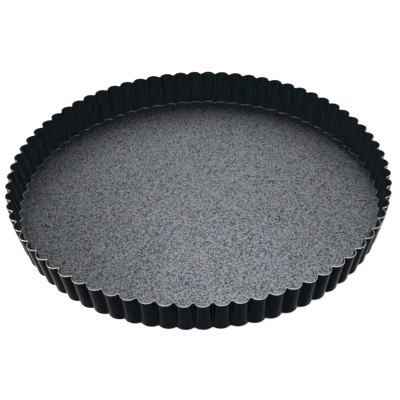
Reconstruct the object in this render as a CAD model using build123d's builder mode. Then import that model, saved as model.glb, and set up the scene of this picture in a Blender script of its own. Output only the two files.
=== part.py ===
from build123d import *

import os
from math import cos, pi, sin

# A loose-bottomed fluted tart pan: a pressed ring with an inward ledge, and a flat base that rests on it.
# Millimetres, +Z up. The origin is the centre of the circle that the pan stands on.

# Driving dimensions
RIM_RADIUS = 150.0  # outer face, flute crest, at the rim
HEIGHT = 29.0
FOOT_RADIUS = 144.1  # outer face, flute crest, carried down to the table
FLUTE_COUNT = 72
RIM_FLUTE_DEPTH = 3.8  # crest to valley
FOOT_FLUTE_DEPTH = 2.1
VALLEY_RADIUS = 1.0  # outer face, in the narrow fold between two flutes
SHEET = 0.6
BEND_RADIUS = 0.9  # inside, where the wall turns into the ledge
BEND_FACETS = 3
LEDGE_WIDTH = 9.0  # from the folds inwards
BASE_SHEET = 0.8
BASE_GAP = 2.5  # radial, from the base to the foot of the bend
BASE_EDGE = 0.2  # rounding of the base's cut edge
CLEARANCE = 2.0  # how far the cut that hollows the ring out runs past the rim

# Worked out from them
HALF_PITCH = pi / FLUTE_COUNT
FOOT_FOLD_RADIUS = FOOT_RADIUS - FOOT_FLUTE_DEPTH - SHEET  # inner face at a fold
LEDGE_HOLE_RADIUS = FOOT_FOLD_RADIUS - LEDGE_WIDTH
BASE_RADIUS = FOOT_FOLD_RADIUS - BEND_RADIUS - BASE_GAP


def blend(foot, rim, z):
    """The value at height z of a size that grows steadily from the foot to the rim."""
    return foot + (rim - foot) * z / HEIGHT


def polar(radius, angle):
    return (radius * cos(angle), radius * sin(angle))


def fluted_outline(z, inset):
    """Draws the closed fluted outline at height z, moved inwards by inset, as tangent arcs."""
    crest = blend(FOOT_RADIUS, RIM_RADIUS, z)
    depth = blend(FOOT_FLUTE_DEPTH, RIM_FLUTE_DEPTH, z)
    # The flute's arc is centred inside the wall and the fold's arc outside it, and they touch.
    fold_centre = crest - depth + VALLEY_RADIUS
    square = crest**2 + fold_centre**2 - 2 * crest * fold_centre * cos(HALF_PITCH)
    reach = crest - fold_centre * cos(HALF_PITCH) + VALLEY_RADIUS
    flute_radius = (square - VALLEY_RADIUS**2) / (2 * reach)
    flute_centre = crest - flute_radius
    share = flute_radius / (flute_radius + VALLEY_RADIUS)
    flute, fold = flute_radius - inset, VALLEY_RADIUS + inset

    def meeting(angle, side):
        """Where the flute at this angle meets the fold on one side of it."""
        centre = Vector(*polar(flute_centre, angle))
        towards = Vector(*polar(fold_centre, angle + side * HALF_PITCH)) - centre
        return centre + towards * share - towards.normalized() * inset

    with BuildLine() as outline:
        for index in range(FLUTE_COUNT):
            angle = 2 * HALF_PITCH * index
            start, end = meeting(angle, -1), meeting(angle, 1)
            ThreePointArc(start, polar(flute_centre + flute, angle), end)
            valley = polar(fold_centre - fold, angle + HALF_PITCH)
            ThreePointArc(end, valley, meeting(angle + 2 * HALF_PITCH, -1))
    make_face(outline.edges())


def fluted_block(inset, floor, top):
    """A solid with the wall's flutes, its faces moved inwards by inset, from height floor to height top.

    The bend round its foot is a run of narrow facets.
    """
    bend = BEND_RADIUS + SHEET - inset
    with BuildPart() as block:
        for step in range(BEND_FACETS + 1):
            turn = pi / 2 * step / BEND_FACETS
            z = floor + bend * (1 - cos(turn))
            with BuildSketch(Plane.XY.offset(z)):
                fluted_outline(z, inset + bend * (1 - sin(turn)))
        with BuildSketch(Plane.XY.offset(top)):
            fluted_outline(top, inset)
        loft(ruled=True)
    return block.part


def make_ring():
    """The pressed ring: a fluted wall that leans outwards, and the ledge that it turns in to at its foot."""
    outside = fluted_block(0, floor=0, top=HEIGHT)
    inside = fluted_block(SHEET, floor=SHEET, top=HEIGHT + CLEARANCE)
    with BuildPart() as ring:
        add(outside)
        add(inside, mode=Mode.SUBTRACT)
        Hole(LEDGE_HOLE_RADIUS)
    ring.part.label = "fluted_ring"
    export_step(ring.part, "parts/fluted_ring.step")


def make_base():
    """The loose base: a flat disc that drops in past the flutes and lies on the ledge."""
    with BuildPart() as base:
        with BuildSketch(Plane.XY.offset(SHEET)):
            Circle(BASE_RADIUS)
        extrude(amount=BASE_SHEET)
        fillet(base.edges(), BASE_EDGE)
    base.part.label = "loose_base"
    export_step(base.part, "parts/loose_base.step")


os.makedirs("parts", exist_ok=True)
make_ring()
make_base()
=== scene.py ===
from math import atan2, cos, pi, radians, sin

import bpy
import numpy as np
from mathutils import Matrix, Vector


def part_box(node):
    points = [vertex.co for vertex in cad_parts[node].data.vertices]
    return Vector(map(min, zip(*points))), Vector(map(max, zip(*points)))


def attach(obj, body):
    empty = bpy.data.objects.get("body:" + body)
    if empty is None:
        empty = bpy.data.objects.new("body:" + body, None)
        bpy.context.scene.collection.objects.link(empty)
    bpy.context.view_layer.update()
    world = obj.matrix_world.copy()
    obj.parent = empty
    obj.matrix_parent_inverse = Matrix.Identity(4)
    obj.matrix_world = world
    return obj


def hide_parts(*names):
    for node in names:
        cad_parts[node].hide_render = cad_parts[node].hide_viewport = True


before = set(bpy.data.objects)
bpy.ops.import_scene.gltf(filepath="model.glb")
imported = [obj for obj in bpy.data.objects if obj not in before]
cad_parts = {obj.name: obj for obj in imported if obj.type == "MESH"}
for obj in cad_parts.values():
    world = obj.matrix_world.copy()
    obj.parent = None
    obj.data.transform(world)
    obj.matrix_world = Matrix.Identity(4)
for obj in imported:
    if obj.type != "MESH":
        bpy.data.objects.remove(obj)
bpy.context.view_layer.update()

MM = 0.001

# The ring's own sizes. Its rim radius and height come from the frame.
FLUTE_COUNT = 72
HALF_PITCH = pi / FLUTE_COUNT
FOOT_RADIUS = 144.1 * MM  # outer face, flute crest, carried down to the table
RIM_FLUTE_DEPTH = 3.8 * MM
FOOT_FLUTE_DEPTH = 2.1 * MM
VALLEY_RADIUS = 1.0 * MM  # outer face, in the fold between two flutes
SHEET = 0.6 * MM
BEND_RADIUS = 0.9 * MM
LEDGE_WIDTH = 9.0 * MM
EDGE_RADIUS = 0.12 * MM  # the sheared edges are worn a little round
BARE_DEPTH = 0.10 * MM  # how far the bare steel of a sheared edge shows on the faces beside it
RIM_BARE_DEPTH = 0.32 * MM  # the same down the outside of the rim, where the coating is worn back
BESIDE = 0.06 * MM  # an extra row this far from a bend keeps the flat beside it flat
BELOW_RIM = 1.0 * MM  # the first row of the wall under the rim's own edge
FROM_HOLE = 4.0 * MM  # the row that keeps the ledge flat beside the hole's edge
RIM_COATED_FROM = 0.6 * SHEET  # how far in from the outside the coating over the rim starts
WORST_UNEVEN = 0.15 * MM  # the most that the rim stands in from its true outline
BASE_EDGE = 0.2 * MM
WALL_ROWS, BEND_ROWS, EDGE_ROWS = 9, 7, 4
SPECKLED_BEND_ROWS = 3  # the floor's speckled film runs this far up the inner bend
DISC_POINTS = 360
DISC_SHARES = (0.04, 0.2, 0.4, 0.6, 0.8, 0.98, 1.0)  # radii of the disc's rows, as shares of its flat

_, ring_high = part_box("fluted_ring")
base_low, base_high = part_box("loose_base")
RIM_RADIUS = ring_high.x
HEIGHT = ring_high.z
HOLE_RADIUS = FOOT_RADIUS - FOOT_FLUTE_DEPTH - SHEET - LEDGE_WIDTH
BASE_RADIUS = base_high.x

# The camera, as multiples of the rim's radius, round the middle of the rim
CAMERA_DISTANCE = 4.626
CAMERA_ELEVATION = radians(36.75)
CAMERA_AZIMUTH = radians(-0.12)
CAMERA_YAW, CAMERA_PITCH, CAMERA_ROLL = -0.00128, 0.03472, -0.03474
CAMERA_LENS, CAMERA_SENSOR = 79.6, 36  # both in millimetres

TABLE_HALF_WIDTH = 6.0
TABLE_DROP = 0.05 * MM  # keeps the table just under the pan's foot
LIGHT_DISTANCE = 2.0

# The studio's surroundings: grey level against the upward part of the direction
SURROUNDINGS = (
    (0.10, 0.95), (0.20, 1.00), (0.30, 1.05), (0.40, 0.82), (0.50, 0.82), (0.60, 0.0), (0.90, 0.0), (0.97, 0.5)
)
# Soft lights: name, bearing and elevation in degrees, size in metres, watts
SOFT_LIGHTS = (
    ("front_key", 270, 60, (2.4, 1.8), 7.5),
    ("front_left_key", 225, 50, (1.8, 1.4), 6.0),
    ("back_glow", 90, 42, (0.6, 0.5), 0.85),
    ("back_high_glow", 79, 54, (0.8, 0.5), 2.3),
    ("right_low_glow", 35, 22, (0.5, 0.3), 0.8),
)

seeded = np.random.default_rng(72)


# ---------------------------------------------------------------- outline of the flutes


def fluted_pitch(z, inset, flute_steps=12, fold_steps=6):
    """One pitch of the wall's outline at height z, moved inwards by inset: tangent arcs, from fold to fold."""
    crest = FOOT_RADIUS + (RIM_RADIUS - FOOT_RADIUS) * z / HEIGHT
    depth = FOOT_FLUTE_DEPTH + (RIM_FLUTE_DEPTH - FOOT_FLUTE_DEPTH) * z / HEIGHT
    fold_centre = crest - depth + VALLEY_RADIUS
    square = crest**2 + fold_centre**2 - 2 * crest * fold_centre * cos(HALF_PITCH)
    reach = crest - fold_centre * cos(HALF_PITCH) + VALLEY_RADIUS
    flute_radius = (square - VALLEY_RADIUS**2) / (2 * reach)
    flute_centre = crest - flute_radius
    fold = fold_centre * np.array([[cos(HALF_PITCH)], [sin(HALF_PITCH)]])
    swing = atan2(fold[1, 0], fold[0, 0] - flute_centre)
    turn = np.linspace(-swing, swing, flute_steps + 1)
    flute = [[flute_centre], [0]] + (flute_radius - inset) * np.array([np.cos(turn), np.sin(turn)])
    turn = np.linspace(swing + pi, HALF_PITCH + pi, fold_steps + 1)[1:]
    after = fold + (VALLEY_RADIUS + inset) * np.array([np.cos(turn), np.sin(turn)])
    before = (after * [[1], [-1]])[:, -2::-1]
    return np.concatenate([before, flute, after], axis=1)


def fluted_row(z, inset):
    """The whole outline at height z, as points."""
    x, y = fluted_pitch(z, inset)
    starts = 2 * HALF_PITCH * np.arange(FLUTE_COUNT)[:, None]
    across = (x * np.cos(starts) - y * np.sin(starts)).ravel()
    along = (x * np.sin(starts) + y * np.cos(starts)).ravel()
    return np.stack([across, along, np.full_like(across, z)], axis=1)


def round_row(like, radius, z):
    """A circle at height z whose points lie at the same bearings as the row that it is like."""
    scale = radius / np.hypot(like[:, 0], like[:, 1])
    return np.stack([like[:, 0] * scale, like[:, 1] * scale, np.full(len(like), z)], axis=1)


# ---------------------------------------------------------------- meshes


def mesh_piece(name, rows, slots, materials, closed=True, caps=()):
    """A surface through rows of points, each joined to the next, and the last to the first where it is closed.

    slots gives each band between two rows its material. caps are the rows that end in a fan.
    """
    columns = len(rows[0])
    points = np.concatenate(rows)
    faces, face_slots = [], []
    bands = len(rows) if closed else len(rows) - 1
    for band in range(bands):
        lower, upper = band * columns, (band + 1) % len(rows) * columns
        for column in range(columns):
            beside = (column + 1) % columns
            faces.append((lower + column, lower + beside, upper + beside, upper + column))
        face_slots += [slots[band]] * columns
    for row, slot in caps:
        centre = len(points)
        points = np.concatenate([points, rows[row].mean(axis=0, keepdims=True)])
        start = row % len(rows) * columns
        for column in range(columns):
            corners = (start + column, start + (column + 1) % columns, centre)
            faces.append(corners if row else corners[::-1])
        face_slots += [slot] * columns
    mesh = bpy.data.meshes.new(name)
    mesh.from_pydata(points.tolist(), [], faces)
    for material in materials:
        mesh.materials.append(material)
    mesh.polygons.foreach_set("material_index", face_slots)
    mesh.polygons.foreach_set("use_smooth", [True] * len(faces))
    mesh.update()
    piece = bpy.data.objects.new(name, mesh)
    bpy.context.collection.objects.link(piece)
    return piece


def swell(points, count, size):
    """A gentle, smooth unevenness between 0 and size, from a few waves across the pan."""
    slowest, fastest = 18, 45  # radians per metre
    total = np.zeros(len(points))
    for _ in range(count):
        bearing, phase = seeded.uniform(0, 2 * pi, 2)
        wave = seeded.uniform(slowest, fastest)
        total += np.sin(wave * (points[:, 0] * cos(bearing) + points[:, 1] * sin(bearing)) + phase)
    return size * (0.5 + total / (2 * count))


def ring_rows():
    """The ring's section, all round: down the outside, in under the ledge, back over it and up the inside.

    Each row comes with the material of the band that follows it.
    """
    rows, slots = [], []
    coated, bare, speckled, inner = 0, 1, 2, 3

    def add(z, inset, slot):
        rows.append(fluted_row(z, inset))
        slots.append(slot)

    def add_round(radius, z, slot):
        rows.append(round_row(foot, radius, z))
        slots.append(slot)

    top = HEIGHT - EDGE_RADIUS
    add(top, 0, bare)
    add(top - RIM_BARE_DEPTH, 0, coated)
    outer_bend = BEND_RADIUS + SHEET
    for z in np.linspace(top - BELOW_RIM, outer_bend + 2 * BESIDE, WALL_ROWS):
        add(z, 0, coated)
    add(outer_bend, 0, coated)
    for turn in np.linspace(pi / 2, 0, BEND_ROWS)[1:]:
        add(outer_bend * (1 - cos(turn)), outer_bend * (1 - sin(turn)), coated)
    foot = rows[-1]
    add(0, outer_bend + BESIDE, coated)
    bare_to = HOLE_RADIUS + BARE_DEPTH + EDGE_RADIUS
    # shares of the sheet upwards, and of the edge's radius back from the hole
    hole_edge = ((0.0, 0.7), (0.3, 0.0), (0.7, 0.0), (1.0, 0.7))
    add_round(HOLE_RADIUS + FROM_HOLE, 0, coated)
    add_round(bare_to, 0, bare)
    for up, back in hole_edge:
        add_round(HOLE_RADIUS + EDGE_RADIUS * back, SHEET * up, bare)
    add_round(bare_to, SHEET, speckled)
    add_round(HOLE_RADIUS + FROM_HOLE, SHEET, speckled)
    add(SHEET, SHEET + BEND_RADIUS + BESIDE, speckled)
    for step, turn in enumerate(np.linspace(0, pi / 2, BEND_ROWS)):
        slot = speckled if step < SPECKLED_BEND_ROWS else inner
        add(SHEET + BEND_RADIUS * (1 - cos(turn)), SHEET + BEND_RADIUS * (1 - sin(turn)), slot)
    for z in np.linspace(outer_bend + BESIDE, top - BELOW_RIM, WALL_ROWS):
        add(z, SHEET, inner)
    add(top, SHEET, inner)
    worn = EDGE_RADIUS * (1 - cos(pi / 4))
    add(HEIGHT - worn, SHEET - worn, inner)
    add(HEIGHT, SHEET - EDGE_RADIUS, inner)
    add(HEIGHT, RIM_COATED_FROM, bare)
    add(HEIGHT, EDGE_RADIUS, bare)
    add(HEIGHT - worn, worn, bare)
    return rows, slots


def make_ring(materials):
    """The pressed ring, its wall a little uneven, and more so towards the rim."""
    rows, slots = ring_rows()
    uneven = swell(rows[0], 5, WORST_UNEVEN)
    for row in rows:
        lean = np.clip(row[:, 2] / HEIGHT, 0, 1)
        shrink = 1 - uneven * lean / np.hypot(row[:, 0], row[:, 1])
        row[:, :2] *= shrink[:, None]
    ring = mesh_piece("fluted_ring_pressed", rows, slots, materials)
    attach(ring, "ring")
    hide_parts("fluted_ring")


def make_base(materials):
    """The disc, with a worn edge."""
    speckled, plain, bare = 0, 1, 2
    bearings = 2 * pi * np.arange(DISC_POINTS) / DISC_POINTS
    circle = np.stack([np.cos(bearings), np.sin(bearings), np.zeros(DISC_POINTS)], axis=1)
    top, bottom = base_high.z, base_low.z
    rows, slots = [], []

    def add(radius, z, slot):
        rows.append(round_row(circle, radius, z))
        slots.append(slot)

    flat = BASE_RADIUS - BASE_EDGE - BESIDE
    for share in DISC_SHARES:
        add(flat * share, top, speckled)
    for turn in np.linspace(pi / 2, 0, EDGE_ROWS):
        radius = BASE_RADIUS - BASE_EDGE * (1 - cos(turn))
        add(radius, top - BASE_EDGE * (1 - sin(turn)), speckled if turn > 0 else bare)
    for turn in np.linspace(0, pi / 2, EDGE_ROWS):
        radius = BASE_RADIUS - BASE_EDGE * (1 - cos(turn))
        add(radius, bottom + BASE_EDGE * (1 - sin(turn)), bare if turn < pi / 2 else plain)
    for share in reversed(DISC_SHARES):
        add(flat * share, bottom, plain)
    caps = ((0, speckled), (-1, plain))
    base = mesh_piece("loose_base_disc", rows, slots, materials, closed=False, caps=caps)
    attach(base, "base")
    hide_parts("loose_base")


# ---------------------------------------------------------------- materials


class Shader:
    """A node material: adds nodes and links their sockets by name."""

    def __init__(self, name):
        self.material = bpy.data.materials.new(name)
        self.material.use_nodes = True
        self.tree = self.material.node_tree
        self.surface = self.tree.nodes["Principled BSDF"]

    def node(self, kind, inputs=(), **settings):
        node = self.tree.nodes.new(kind)
        for key, value in settings.items():
            setattr(node, key, value)
        for key, value in dict(inputs).items():
            self.feed(node, key, value)
        return node

    def feed(self, node, key, value):
        socket = node.inputs[key]
        if isinstance(value, bpy.types.NodeSocket):
            self.tree.links.new(value, socket)
        else:
            socket.default_value = value

    def set(self, **inputs):
        for key, value in inputs.items():
            self.feed(self.surface, key.replace("_", " "), value)

    def coordinates(self):
        return self.node("ShaderNodeTexCoord").outputs["Object"]

    def noise(self, size, detail=2.0, roughness=0.5, where=None):
        """Noise whose features are about size metres across."""
        where = where or self.coordinates()
        values = {"Vector": where, "Scale": 1 / size, "Detail": detail, "Roughness": roughness}
        return self.node("ShaderNodeTexNoise", values).outputs["Fac"]

    def between(self, value, low, high, to_low, to_high):
        """value carried from the range low..high to to_low..to_high, and kept inside it."""
        inputs = {"Value": value, "From Min": low, "From Max": high, "To Min": to_low, "To Max": to_high}
        return self.node("ShaderNodeMapRange", inputs).outputs["Result"]

    def mixed(self, share, first, second):
        """A colour between two others, which are sockets or plain colours."""
        mix = self.node("ShaderNodeMix", data_type="RGBA")
        self.feed(mix, "Factor", share)
        first_colour, second_colour, result = mix.inputs[6], mix.inputs[7], mix.outputs[2]
        for socket, value in ((first_colour, first), (second_colour, second)):
            if isinstance(value, bpy.types.NodeSocket):
                self.tree.links.new(value, socket)
            else:
                socket.default_value = (*value, 1)
        return result

    def bumped(self, height, strength, distance):
        bump = self.node("ShaderNodeBump", {"Height": height, "Strength": strength, "Distance": distance})
        self.feed(self.surface, "Normal", bump.outputs["Normal"])


def black_coating(name, dark, light, roughness, gloss):
    """Smooth satin non-stick coating, nearly black with a trace of green-blue, and faint upright streaks of
    painted sheen in its colour.
    """
    shader = Shader(name)
    drawn_out = (1, 1, 0.06)  # the painted sheen streaks are about 17 times as long as they are wide
    upright = shader.node("ShaderNodeVectorMath", {0: shader.coordinates(), 1: drawn_out}, operation="MULTIPLY")
    sheen_streaks = shader.noise(1.4 * MM, 1, 0.5, upright.outputs["Vector"])
    grain = shader.noise(1.6 * MM, 3)
    haze = shader.noise(25 * MM, 2)
    # painted sheen: the colour runs from dark to light along the upright streaks, standing in for sheen on the
    # flutes
    painted_sheen_share = shader.between(sheen_streaks, 0.3, 0.7, 0.0, 1.0)
    shader.set(Base_Color=shader.mixed(painted_sheen_share, dark, light))
    shader.set(Roughness=shader.between(haze, 0.35, 0.65, *roughness))
    shader.surface.inputs["Specular IOR Level"].default_value = gloss
    shader.surface.inputs["Specular Tint"].default_value = (0.72, 0.88, 1.0, 1)
    shader.bumped(grain, 0.25, 0.05 * MM)
    return shader.material


def floor_coating():
    """Speckled non-stick coating: a dark film full of fine bright metallic flakes."""
    shader = Shader("speckled_grey_coating")
    flake_size, cell_weight = 1.3 * MM, -0.35
    where = shader.coordinates()
    cells = shader.node("ShaderNodeTexVoronoi", {"Vector": where, "Scale": 1 / flake_size}).outputs["Distance"]
    patches = shader.noise(0.84 * MM, 2, 0.6, where)
    weighed = shader.node("ShaderNodeMath", {0: cells, 1: cell_weight, 2: patches}, operation="MULTIPLY_ADD")
    flakes = weighed.outputs["Value"]
    fine = shader.noise(0.7 * MM, 1, 0.5, where)
    drift = shader.noise(40 * MM, 2, 0.5, where)
    share = shader.between(flakes, 0.215, 0.425, 0.0, 1.0)
    hue = shader.between(shader.noise(2.4 * MM, 0, 0.5, where), 0.35, 0.65, 0.0, 1.0)
    dark = shader.mixed(drift, (0.066, 0.068, 0.076), (0.058, 0.068, 0.080))
    bright = shader.mixed(hue, (0.46, 0.45, 0.47), (0.40, 0.455, 0.515))
    shader.set(Base_Color=shader.mixed(share, dark, bright))
    shader.set(Metallic=shader.between(flakes, 0.15, 0.5, 0.95, 1.0))
    shader.set(Roughness=shader.between(drift, 0.3, 0.7, 0.33, 0.37))
    shader.bumped(fine, 0.3, 0.04 * MM)
    return shader.material


def bare_steel():
    """Sheared edge of the steel sheet, bright, with fine tearing across it."""
    shader = Shader("bare_sheared_edge")
    tearing = shader.noise(0.35 * MM, 2)
    patches = shader.noise(6 * MM, 2)
    colour = shader.mixed(shader.between(patches, 0.35, 0.65, 0, 1), (0.66, 0.66, 0.66), (0.88, 0.88, 0.87))
    shader.set(Base_Color=colour, Metallic=1.0, Roughness=shader.between(tearing, 0.3, 0.7, 0.28, 0.5))
    shader.bumped(tearing, 0.4, 0.03 * MM)
    return shader.material


def table_paint():
    """Plain pale studio floor."""
    shader = Shader("pale_studio_floor")
    mottle = shader.noise(150 * MM, 2)
    shader.set(Base_Color=shader.mixed(mottle, (0.86, 0.86, 0.86), (0.88, 0.88, 0.88)), Roughness=0.9)
    shader.surface.inputs["Specular IOR Level"].default_value = 0.1
    shader.surface.inputs["Emission Color"].default_value = (1, 1, 1, 1)
    shader.surface.inputs["Emission Strength"].default_value = 0.76
    return shader.material


# ---------------------------------------------------------------- studio


def make_camera():
    """The camera looks at the rim's middle from the front and above, then turns a little off it."""
    around = Matrix.Rotation(CAMERA_AZIMUTH, 3, "Z")
    forward = around @ Vector((0, cos(CAMERA_ELEVATION), -sin(CAMERA_ELEVATION)))
    right = around @ Vector((1, 0, 0))
    axes = Matrix((right, forward.cross(right), forward))
    axes = Matrix.Rotation(CAMERA_YAW, 3, "Y") @ axes
    axes = Matrix.Rotation(CAMERA_ROLL, 3, "Z") @ Matrix.Rotation(CAMERA_PITCH, 3, "X") @ axes
    place = Vector((0, 0, HEIGHT)) - forward * CAMERA_DISTANCE * RIM_RADIUS
    camera = bpy.data.objects.new("camera", bpy.data.cameras.new("camera"))
    bpy.context.collection.objects.link(camera)
    camera.data.lens = CAMERA_LENS
    camera.data.sensor_width = CAMERA_SENSOR
    turned = Matrix((axes[0], -axes[1], -axes[2])).transposed()
    camera.matrix_world = Matrix.Translation(place) @ turned.to_4x4()
    bpy.context.scene.camera = camera


def area_light(name, bearing, elevation, size, watts):
    """A soft light that faces the pan's middle. Bearings run from +X towards +Y, in degrees."""
    lamp = bpy.data.lights.new(name, "AREA")
    lamp.shape, lamp.size, lamp.size_y = "RECTANGLE", *size
    lamp.energy = watts
    light = bpy.data.objects.new(name, lamp)
    bpy.context.collection.objects.link(light)
    across, up = cos(radians(elevation)), sin(radians(elevation))
    towards = Vector((across * cos(radians(bearing)), across * sin(radians(bearing)), up))
    light.location = LIGHT_DISTANCE * towards
    light.rotation_euler = (-light.location).to_track_quat("-Z", "Y").to_euler()


def warm_light():
    """A small warm lamp that glances off the flutes at the front left."""
    lamp = bpy.data.lights.new("warm_left", "SPOT")
    lamp.energy, lamp.color = 26, (1.0, 0.58, 0.38)
    lamp.spot_size, lamp.spot_blend, lamp.shadow_soft_size = radians(17), 0.5, 0.03
    light = bpy.data.objects.new("warm_left", lamp)
    bpy.context.collection.objects.link(light)
    light.location = (-0.60, -0.25, 0.16)
    aim = Vector((-0.22, -0.12, 0))
    light.rotation_euler = (aim - light.location).to_track_quat("-Z", "Y").to_euler()


def make_table():
    side = TABLE_HALF_WIDTH
    points = [(-side, -side, 0), (side, -side, 0), (side, side, 0), (-side, side, 0)]
    mesh = bpy.data.meshes.new("studio_floor")
    mesh.from_pydata(points, [], [(0, 1, 2, 3)])
    mesh.materials.append(table_paint())
    floor = bpy.data.objects.new("studio_floor", mesh)
    bpy.context.collection.objects.link(floor)
    floor.location.z = -TABLE_DROP


def make_surroundings():
    world = bpy.data.worlds.new("studio")
    world.use_nodes = True
    nodes, links = world.node_tree.nodes, world.node_tree.links
    direction = nodes.new("ShaderNodeTexCoord").outputs["Generated"]
    upward = nodes.new("ShaderNodeSeparateXYZ")
    links.new(direction, upward.inputs[0])
    ramp = nodes.new("ShaderNodeValToRGB")
    links.new(upward.outputs["Z"], ramp.inputs["Fac"])
    stops = ramp.color_ramp.elements
    stops[0].position, stops[1].position = SURROUNDINGS[0][0], SURROUNDINGS[1][0]
    for position, _ in SURROUNDINGS[2:]:
        stops.new(position)
    for stop, (_, grey) in zip(stops, SURROUNDINGS):
        stop.color = (grey, grey, grey, 1)
    links.new(ramp.outputs["Color"], nodes["Background"].inputs["Color"])
    bpy.context.scene.world = world


def make_studio():
    make_table()
    make_surroundings()
    for soft_light in SOFT_LIGHTS:
        area_light(*soft_light)
    warm_light()
    bpy.context.scene.view_settings.view_transform = "Standard"


make_camera()
# In each coating, light is the colour of the painted sheen streaks and dark is the coating between them
outside = black_coating(
    "matt_black_outside", dark=(0.0003, 0.0016, 0.0036), light=(0.0020, 0.0046, 0.0084),
    roughness=(0.11, 0.16), gloss=0.014
)
inside = black_coating(
    "satin_black_inside", dark=(0.0052, 0.0096, 0.0130), light=(0.0156, 0.0244, 0.0302),
    roughness=(0.24, 0.30), gloss=0.12
)
speckled, steel = floor_coating(), bare_steel()
make_ring([outside, steel, speckled, inside])
make_base([speckled, outside, steel])
make_studio()
